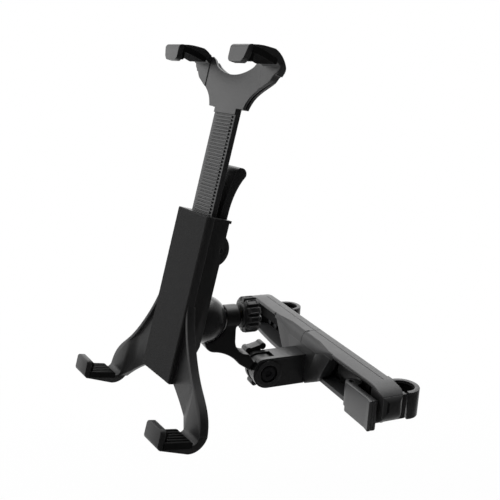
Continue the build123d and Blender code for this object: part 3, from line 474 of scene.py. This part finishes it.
def ridgedSection(half, skirt):
    look = hookPad
    pitch = 2 * half / (look["ridges"] - 1 + look["land"])
    low = look["thick"] - look["ridge"]
    r = look["round"]
    line = []
    for k in range(look["ridges"]):
        start = -half + k * pitch
        end = start + look["land"] * pitch
        line.append((start, low))
        for turn in (0, 30, 60, 90):
            a = math.radians(turn)
            line.append((start + r - r * math.cos(a), look["thick"] - r + r * math.sin(a)))
        for turn in (90, 60, 30, 0):
            a = math.radians(turn)
            line.append((end - r + r * math.cos(a), look["thick"] - r + r * math.sin(a)))
        line.append((end, low))
    if skirt:
        inner = half - look["overlap"]
        c = look["corner"]
        line += [(half, -skirt + c), (half - c, -skirt), (inner, -skirt), (inner, 0)]
        line += [(-inner, 0), (-inner, -skirt), (-half + c, -skirt), (-half, -skirt + c)]
    else:
        line += [(half, 0), (-half, 0)]
    return line


def hookRubber(name, level, side):
    hook = hooks[level]
    half = hook["width"] / 2 + hookPad["overlap"]
    low = hookPad["thick"] - hookPad["ridge"]
    section = ridgedSection(half, hookPad["skirt"])
    rings = []
    flat = hook["back"] - hookPad["taper"]
    stations = [(hook["lip"] + (flat - hook["lip"]) * share, 1.0) for share in hookPad["rows"]]
    stations += [(hook["back"] - hookPad["taper"] * away, share) for away, share in hookPad["backEnd"]]
    for w, share in stations:
        ring = []
        for u, h in section:
            height = low + (h - low) * share if h > low else h
            v = hook["base"] + hook["up"] * height
            ring.append(inCradle(side * (hook["u"] + u), w, v - roofDrop(w, v)))
        rings.append(ring)
    floorPart = skin(rings)
    lipHalf = hook["width"] / 2 - hookPad["short"]
    section = ridgedSection(lipHalf, 0)
    rings = []
    run = abs(hook["stop"] - hook["base"])
    for h, share in [(0.0, 1.0)] + [(run - away, share) for away, share in hookPad["lipEnd"]]:
        ring = []
        for u, t in section:
            depth = low + (t - low) * share if t > low else t
            v = hook["base"] + hook["up"] * h
            ring.append(inCradle(side * (hook["u"] + u), hook["lip"] + depth, v))
        rings.append(ring)
    mesh = plainMesh(*joined([floorPart, skin(rings)]))
    pad = placedPiece(name, mesh, "rubber", hook["body"], name)
    smoothPiece(pad)


# claw liners: a ribbed rubber sleeve inside each ring
liner = dict(post=78.3, inner=6.5, outer=7.49, half=7.7, start=-6.0, end=172.0, ribs=17, groove=0.3, rim=0.35)


def clawLiner(name, side, body):
    look = liner
    steps = look["ribs"] * 6
    rings = []
    for k in range(steps + 1):
        share = k / steps
        a = math.radians(look["start"] + (look["end"] - look["start"]) * share)
        wave = 0.5 - 0.5 * math.cos(share * look["ribs"] * 2 * math.pi)
        inner = look["inner"] + look["groove"] * wave ** 2
        ring = []
        for z, r in [(-look["half"], look["outer"]), (-look["half"], inner + look["rim"]),
                     (-look["half"] + look["rim"], inner), (look["half"] - look["rim"], inner),
                     (look["half"], inner + look["rim"]), (look["half"], look["outer"])]:
            ring.append(Vector((side * (look["post"] + r * math.cos(a)), r * math.sin(a), z)) * mm)
        rings.append(ring)
    sleeve = placedPiece(name, plainMesh(*skin(rings)), "rubber", body, name)
    smoothPiece(sleeve)


# clamp bar: the moulding's rounded ends, a shorter far end and the flush web
barTrim = dict(near=100.97, far=-94.0, front=-29.97, bow=0.9, rear=-13.23, top=17.97, low=-8.47, corner=7.0,
               noseRun=17.0, noseDrop=7.0, keelRun=21.0, farKeelRun=10.0, keelRise=17.5, webHalf=42.0,
               webFront=-29.32, coverWebFront=-29.2, chinHalf=26.0, chinLow=-17.5, edge=1.1, edgeShare=0.45,
               steps=14, lip=1.4, undercut=2.9, underShare=0.4, shelfGap=0.2, coverLow=13.6)


def quarterDrop(distance, run, drop):
    share = max(run - distance, 0) / run
    return drop * (1 - math.sqrt(1 - share ** 2))


def barSection(x, undercut):
    look = barTrim
    distance = max(min(look["near"] - x, x - look["far"]), 0)
    inset = quarterDrop(distance, look["corner"], look["corner"])
    bowed = look["front"] + look["bow"] * (x / look["near"]) ** 2
    web = look["coverWebFront"] if undercut else look["webFront"]
    front = (web if abs(x) < look["webHalf"] else bowed) + inset
    rear = look["rear"] - inset
    high = look["top"] - quarterDrop(distance, look["noseRun"], look["noseDrop"])
    keelRun = look["keelRun"] if x > 0 else look["farKeelRun"]
    low = look["low"] + quarterDrop(distance, keelRun, look["keelRise"])
    low = look["chinLow"] if abs(x) < look["chinHalf"] else low
    edge = min(look["edge"], look["edgeShare"] * (rear - front), look["edgeShare"] * (high - low))
    corners = [(rear, high, 0), (front, high, 90), (front, low, 180), (rear, low, 270)]
    ring = []
    for y, z, start in corners:
        y += edge if y == front else -edge
        z += edge if z == low else -edge
        for turn in range(start, start + 91, 30):
            a = math.radians(turn)
            ring.append((y + edge * math.cos(a), z + edge * math.sin(a)))
    if undercut and abs(x) > look["webHalf"]:
        lip = max(high - look["lip"], (high + low) / 2)
        under = min(look["undercut"], look["underShare"] * (rear - front))
        shelf = max(min(look["coverLow"], lip - look["shelfGap"]), (high + low) / 2 - look["shelfGap"])
        below = [(max(y, front + under), z) for y, z in ring[8:]]
        ring = ring[:8] + [(front, lip), (front + under, shelf)] + below
    elif undercut:
        ring = ring[:8] + [(front, high - 2 * edge), (front, high - 3 * edge)] + ring[8:]
    return [Vector((x, y, z)) * mm for y, z in ring]


def barEnvelope(undercut):
    look = barTrim
    stations = []
    for k in range(look["steps"] + 1):
        bend = 1 - math.cos(math.radians(90 * k / look["steps"]))
        stations.append(look["near"] - look["keelRun"] * bend)
        stations.append(look["far"] + look["keelRun"] * bend)
    for step in (look["webHalf"], look["chinHalf"]):
        stations += [side * (step + away) for side in (-1, 1) for away in (-0.01, 0.01)]
    return plainMesh(*skin([barSection(x, undercut) for x in sorted(stations)]))


# floor lip: the front edge of the bar's floor under the far opening
floorLip = dict(low=-8.45, top=-5.5, back=-26.6, round=0.5,
                line=[(-80, -27.0), (-65, -28.6), (-45, -30.0), (-24, -30.6)])


def farFloorLip():
    look = floorLip
    r = look["round"]
    rings = []
    for x, y in look["line"]:
        section = [(look["back"], look["low"]), (y + r, look["low"]), (y, look["low"] + r),
                   (y, look["top"] - r), (y + r, look["top"]), (look["back"], look["top"])]
        rings.append([Vector((x, p, z)) * mm for p, z in section])
    # the lip takes the lighter floor finish, painted light
    placedPiece("floor_lip", plainMesh(*skin(rings)), "floor", "bar")


# painted shade and light in the channel: its recess walls get a darker, duller finish as painted shade, its
# floor a lighter finish as painted light
recessForm = dict(wall=-26.2, floorLow=-7.0, floorHigh=-2.0, half=24.0, upward=0.7, forward=-0.3)


def paintRecessShadeAndLight(mesh):
    look = recessForm
    mesh.materials.append(finishes["recess"])
    mesh.materials.append(finishes["floor"])
    for face in mesh.polygons:
        x, y, z = face.center / mm
        if face.normal.z > look["upward"] and look["floorLow"] < z < look["floorHigh"]:
            face.material_index = 2
        elif y > look["wall"] and face.normal.y < look["forward"] and abs(x) > look["half"]:
            face.material_index = 1


def trimmedBar():
    for node in ("bar_body", "right_cover", "left_cover"):
        mesh = combined(nodeCopy(node), barEnvelope(node != "bar_body"), "INTERSECT")
        piece = placedPiece(node + "_shown", mesh, "bar", "bar", node)
        smoothPiece(piece)
        if node == "bar_body":
            paintRecessShadeAndLight(piece.data)


# arm block: runs on to the web, with the same cap and sides
armRoot = dict(start=-37.0, end=-29.25, side=7.2, cap=8.0, top=4.6, capThick=1.6, low=-17.0)


def longArmBlock():
    look = armRoot
    side, cap, top = look["side"], look["cap"], look["top"]
    ledge = top - look["capThick"]
    line = [(-side, look["low"]), (side, look["low"]), (side, ledge), (cap, ledge),
            (cap, top), (-cap, top), (-cap, ledge), (-side, ledge)]
    rings = [[Vector((x, y, z)) * mm for x, z in line] for y in (look["start"], look["end"])]
    mesh = combined(nodeCopy("arm_block"), plainMesh(*skin(rings)), "UNION")
    smoothPiece(placedPiece("arm_block_shown", mesh, "arm", "bar", "arm_block"))


# elbow: the moulding's edges are rounded all over
elbowForm = dict(voxel=0.42 * mm, passes=45, clearance=0.25 * mm)


def roundedElbow():
    mesh = nodeCopy("elbow_arm")
    piece = placedPiece("elbow_arm_shown", mesh, "elbow", "arm", "elbow_arm")
    remesh = piece.modifiers.new("even", "REMESH")
    remesh.mode = "VOXEL"
    remesh.voxel_size = elbowForm["voxel"]
    remesh.use_smooth_shade = True
    smooth = piece.modifiers.new("round", "SMOOTH")
    smooth.factor = 0.5
    smooth.iterations = elbowForm["passes"]
    shrink = piece.modifiers.new("clearance", "DISPLACE")
    shrink.mid_level = 0
    shrink.strength = -elbowForm["clearance"]


# ball knob: twelve lobes, each with an outlined grip panel
knobForm = dict(y=-77.3, z=35.0, hubLength=2.0, hubEdge=0.5, length=11.0, radius=12.0, hubRadius=8.6,
                lobes=12, groove=20.0, grooveDepth=2.2, grooveTurn=2.4, shoulderTurn=1.2, shoulderDrop=0.3,
                rim=0.9, rimStep=0.3, rimDrop=0.35, panelAngle=7.6, panelTurn=0.9, panelInset=1.6, panelStep=0.3,
                panelDepth=0.55, bore=4.3, face=2.4, recess=1.6, recessDepth=1.2)


def lobedKnob():
    look = knobForm
    pitch = 360 / look["lobes"]
    half = pitch / 2
    edge = half - look["groove"] / 4
    panel = look["panelAngle"]
    right = [panel - look["panelTurn"], panel, edge - look["shoulderTurn"], edge, half - look["grooveTurn"]]
    turns = [-half] + [-turn for turn in reversed(right)] + [0] + right
    start = look["hubLength"]
    end = look["length"]
    panelStart = start + look["panelInset"]
    panelEnd = end - look["panelInset"]
    rim, rimStep, rimDrop, step = look["rim"], look["rimStep"], look["rimDrop"], look["panelStep"]
    rows = [(start, -rim), (start + rimStep, -rimDrop), (start + rim, 0), (panelStart, 0),
            (panelStart + step, "panel"), (panelEnd - step, "panel"), (panelEnd, 0), (end - rim, 0),
            (end - rimStep, -rimDrop), (end, -rim)]

    def ring(y, radii):
        made = []
        for k in range(look["lobes"]):
            for turn, radius in zip(turns, radii):
                a = math.radians(k * pitch + turn)
                across = radius * math.cos(a)
                made.append(Vector((across, look["y"] + y, look["z"] + radius * math.sin(a))) * mm)
        return made

    def plainRing(y, radius):
        return ring(y, [radius] * len(turns))

    hub, bore = look["hubRadius"], look["bore"]
    rings = [plainRing(0, bore), plainRing(0, hub - look["hubEdge"]), plainRing(look["hubEdge"], hub),
             plainRing(start, hub)]
    for y, change in rows:
        radii = []
        for turn in turns:
            away = abs(turn)
            radius = look["radius"]
            if away > edge:
                radius -= look["grooveDepth"]
            elif away == edge:
                radius -= look["shoulderDrop"]
            elif change == "panel" and away < panel:
                radius -= look["panelDepth"]
            radii.append(radius + (change if change != "panel" else 0))
        rings.append(ring(y, radii))
    rings.append(plainRing(end, bore + look["face"]))
    rings.append(plainRing(end - look["recessDepth"], bore + look["recess"]))
    rings.append(plainRing(end - look["recessDepth"], bore))
    points, faces = skin(rings)
    faces = faces[:-2]
    count = len(rings[0])
    last = (len(rings) - 1) * count
    for col in range(count):
        following = (col + 1) % count
        faces.append((last + col, last + following, following, col))
    mesh = plainMesh(points, faces)
    smoothPiece(placedPiece("ball_knob_shown", mesh, "knob", "knob", "ball_knob"))


# cam lever: an eye on the pin and a thick blade with a ribbed finger end
camForm = dict(pin=(66.5, -29.2), bore=1.7, eye=(66.5, -28.0), eyeRadius=5.0, top=10.4, low=-9.0, round=1.0,
               roundStep=0.3, front=-33.4, rear=-28.4, end=94.0, cheek=(-1.5, 0.4), faceStart=1.0, neck=5.0,
               tip=((-5, 0), (-2, -0.48), (-0.4, -0.8), (0, -0.3)), tailRound=0.5, ribs=(1.0, 2.6),
               rib=((0, 0), (-0.5, 0.35), (-0.5, 0.6), (0, 0.95)))
camSlots = dict(low=-1.3, top=6.3, boxes=((54.5, -32.9, 70.7, -16.0), (54.5, -36.4, 63.0, -28.0)))
camHeels = dict(low=-10.0, top=-5.3, boxes=((59.5, -36.4, 67.0, -16.0), (58.5, -28.4, 74.5, -15.0)))


def prism(line, low, high):
    return plainMesh(*skin([[Vector((x, y, z)) * mm for x, y in line] for z in (low, high)]))


def arc(centre, radius, turns):
    x, y = centre
    angles = [math.radians(turn) for turn in turns]
    return [(x + radius * math.cos(a), y + radius * math.sin(a)) for a in angles]


def camOutline():
    look = camForm
    ex = look["eye"][0]
    front, rear, end = look["front"], look["rear"], look["end"]
    line = arc(look["eye"], look["eyeRadius"], range(30, 231, 10))
    line += [(ex + look["cheek"][0], front + look["cheek"][1]), (ex + look["faceStart"], front)]
    line += [(end + x, front + y) for x, y in look["tip"]]
    for place in look["ribs"]:
        line += [(end + x, front + place + y) for x, y in look["rib"]]
    line += [(end, rear - look["tailRound"]), (end - look["tailRound"], rear), (ex + look["neck"], rear)]
    return line


def camLever():
    look = camForm
    low, top, r = look["low"], look["top"], look["round"]
    step = look["roundStep"] * r
    heel = look["eye"][0] - look["eyeRadius"]
    middle = Vector(((heel + look["end"]) / 2, (look["front"] + look["rear"]) / 2))
    levels = [(low, r), (low + step, step), (low + r, 0), (top - r, 0), (top - step, step), (top, r)]
    rings = []
    for z, inset in levels:
        ring = []
        for x, y in camOutline():
            inX = math.copysign(min(inset, abs(middle.x - x)), middle.x - x)
            inY = math.copysign(min(inset, abs(middle.y - y)), middle.y - y)
            ring.append(Vector((x + inX, y + inY, z)) * mm)
        rings.append(ring)
    mesh = plainMesh(*skin(rings))
    for cuts in (camSlots, camHeels):
        for x0, y0, x1, y1 in cuts["boxes"]:
            line = [(x0, y0), (x1, y0), (x1, y1), (x0, y1)]
            mesh = combined(mesh, prism(line, cuts["low"], cuts["top"]), "DIFFERENCE")
    circle = arc(look["pin"], look["bore"], range(0, 360, 15))
    mesh = combined(mesh, prism(circle, low - 1, top + 1), "DIFFERENCE")
    smoothPiece(placedPiece("cam_lever_shown", mesh, "cam", "cam", "cam_lever"))


# web skin: the rounded shoulder between the bar's top and the arm, in two halves that meet at the seam
webSkin = dict(wide=42.0, root=20.4, slopeTop=-25.5, front=-29.36, top=18.0, low=9.7, lift=0.05, thick=0.6,
               tipThick=0.02, steps=8, stations=(0.15, 7, 14, 20.4, 25, 30, 35, 39, 41.6), bulge=0.75)


def slopedWeb():
    look = webSkin
    high = look["top"] + look["lift"]
    front = look["front"] - look["lift"]
    parts = []
    for side in (-1, 1):
        rings = []
        for x in look["stations"]:
            share = max(0, (x - look["root"]) / (look["wide"] - look["root"]))
            back = look["slopeTop"] + (front - look["slopeTop"]) * share
            low = look["low"] + (high - look["low"]) * share
            middleY = (back + front) / 2
            middleZ = (high + low) / 2
            pullY = middleY + (front - middleY) * look["bulge"]
            pullZ = middleZ + (high - middleZ) * look["bulge"]
            line = []
            for step in range(look["steps"] + 1):
                t = step / look["steps"]
                y = (1 - t) ** 2 * back + 2 * t * (1 - t) * pullY + t * t * front
                z = (1 - t) ** 2 * high + 2 * t * (1 - t) * pullZ + t * t * low
                line.append((y, z))
            thick = look["thick"] * (1 - share) + look["tipThick"]
            line += [(front + thick, low), (back + thick, high - thick)]
            rings.append([Vector((side * x, y, z)) * mm for y, z in line])
        parts.append(skin(rings))
    smoothPiece(placedPiece("web_skin", plainMesh(*joined(parts)), "bar", "bar"))


shapedSlider()
trimmedBar()
farFloorLip()
longArmBlock()
roundedElbow()
lobedKnob()
camLever()
slopedWeb()
print("rigid pieces made")
frontPad()
hookRubber("lower_right_pad", "lower", 1)
hookRubber("lower_left_pad", "lower", -1)
hookRubber("upper_right_pad", "upper", 1)
hookRubber("upper_left_pad", "upper", -1)
clawLiner("right_liner", 1, "claw")
clawLiner("left_liner", -1, "bar")
print("soft pieces made")


# pale floor, below the reach of the cradle: white to the camera, keeps the object's shadow
studio = dict(floorDrop=170.0 * mm, floorSize=6.0, floorTone=0.86, shadowShare=0.16, shadowReach=(0.16, 0.55),
              dimSide=(-0.12, 0.16), dimGlow=0.03, mirrorShare=0.95)
lowest = cadBox[0].z - studio["floorDrop"]


def paleFloor():
    bpy.ops.mesh.primitive_plane_add(size=studio["floorSize"], location=(0, 0, lowest))
    floor = bpy.context.object
    floor.name = "floor"
    material, flow, shader = newMaterial("palePaper")
    tone = studio["floorTone"]
    feed(flow, shader, Base_Color=(tone, tone, tone, 1), Roughness=0.8, Specular_IOR_Level=0.1)
    camera = flow.node("ShaderNodeLightPath", out="Is Camera Ray")
    glossy = flow.node("ShaderNodeLightPath", out="Is Glossy Ray")
    through = flow.node("ShaderNodeLightPath", out="Is Transmission Ray")
    place = flow.node("ShaderNodeNewGeometry", out="Position")
    reach = flow.node("ShaderNodeVectorMath", {"operation": "LENGTH"}, out="Value", in0=place)
    away = reach.ease(*studio["shadowReach"])
    white = camera * (1 - studio["shadowShare"] * (1 - away))
    x = flow.node("ShaderNodeSeparateXYZ", out="X", Vector=place)
    dimming = x.ease(*studio["dimSide"]) * (1 - camera)
    paper = flow.node("ShaderNodeEmission", Color=(1, 1, 1, 1), Strength=1.0)
    shade = flow.node("ShaderNodeEmission", Color=(1, 1, 1, 1), Strength=studio["dimGlow"])
    glow = flow.node("ShaderNodeMixShader", in0=dimming, in1=paper, in2=shade)
    share = (white + (glossy + through) * studio["mirrorShare"]).clip()
    mixed = flow.node("ShaderNodeMixShader", in0=share, in1=Flow(flow.tree, shader.outputs[0]), in2=glow)
    flow.tree.links.new(mixed.socket, flow.tree.nodes["Material Output"].inputs["Surface"])
    floor.data.materials.append(material)


# world: white to the camera, bright behind and to the left, dim on the viewer's side
skyLook = dict(towards=(-0.90, -0.10, 0.40), low=-0.35, high=0.55, dim=0.03, bright=0.9)


def studioWorld():
    world = bpy.data.worlds.new("studioWorld")
    bpy.context.scene.world = world
    world.use_nodes = True
    tree = world.node_tree
    flow = Flow(tree)
    way = flow.node("ShaderNodeTexCoord", out="Generated")
    lean = Vector(skyLook["towards"]).normalized()
    side = flow.node("ShaderNodeVectorMath", {"operation": "DOT_PRODUCT"}, out="Value",
                     in0=way, in1=tuple(lean))
    behind = side.ease(skyLook["low"], skyLook["high"])
    level = skyLook["dim"] + behind * (skyLook["bright"] - skyLook["dim"])
    camera = flow.node("ShaderNodeLightPath", out="Is Camera Ray")
    glossy = flow.node("ShaderNodeLightPath", out="Is Glossy Ray")
    through = flow.node("ShaderNodeLightPath", out="Is Transmission Ray")
    white = (camera + (glossy + through) * behind).clip()
    dark = flow.node("ShaderNodeBackground", Color=(0, 0, 0, 1), Strength=1.0)
    light = flow.node("ShaderNodeBackground", Color=(1, 1, 1, 1), Strength=1.0)
    mixed = flow.node("ShaderNodeMixShader", in0=level + white * (1 - level), in1=dark, in2=light)
    tree.links.new(mixed.socket, tree.nodes["World Output"].inputs["Surface"])


lamps = {
    "topBox": dict(at=(-0.35, 0.15, 1.0), aim=(0, -0.06, 0.05), size=0.9, power=7.0),
    "leftFill": dict(at=(-0.9, -0.9, 0.45), aim=(0, -0.1, 0.08), size=0.8, power=2.5),
    "backBox": dict(at=(-0.87, 0.45, 0.38), aim=(0, -0.05, 0.05), size=0.8, power=1.7),
}


def softLamp(name, at, aim, size, power):
    data = bpy.data.lights.new(name, "AREA")
    data.shape = "SQUARE"
    data.size = size
    data.energy = power
    lamp = bpy.data.objects.new(name, data)
    lamp.location = at
    lamp.rotation_euler = (Vector(aim) - Vector(at)).to_track_quat("-Z", "Y").to_euler()
    bpy.context.collection.objects.link(lamp)


paleFloor()
studioWorld()
for name, lamp in lamps.items():
    softLamp(name, **lamp)
print("studio ready")


# camera at the photograph's angle
viewpoint = dict(at=(0.3996, -0.2540, 0.1900), azimuth=65.5, elevation=14.2, roll=3.0, lens=50.4, sensor=36.0)


def photoCamera():
    data = bpy.data.cameras.new("photoCamera")
    data.lens = viewpoint["lens"]
    data.sensor_width = viewpoint["sensor"]
    data.clip_start = 0.01
    camera = bpy.data.objects.new("photoCamera", data)
    bpy.context.collection.objects.link(camera)
    turn = math.radians(viewpoint["azimuth"])
    tilt = math.radians(viewpoint["elevation"])
    roll = math.radians(viewpoint["roll"])
    back = Vector((math.sin(turn) * math.cos(tilt), -math.cos(turn) * math.cos(tilt), math.sin(tilt)))
    right = Vector((math.cos(turn), math.sin(turn), 0))
    up = back.cross(right)
    rightRolled = math.cos(roll) * right + math.sin(roll) * up
    upRolled = math.cos(roll) * up - math.sin(roll) * right
    basis = Matrix((rightRolled, upRolled, back)).transposed()
    camera.matrix_world = Matrix.Translation(viewpoint["at"]) @ basis.to_4x4()
    bpy.context.scene.camera = camera


photoCamera()
bpy.context.scene.view_settings.view_transform = "Standard"
print("camera set")
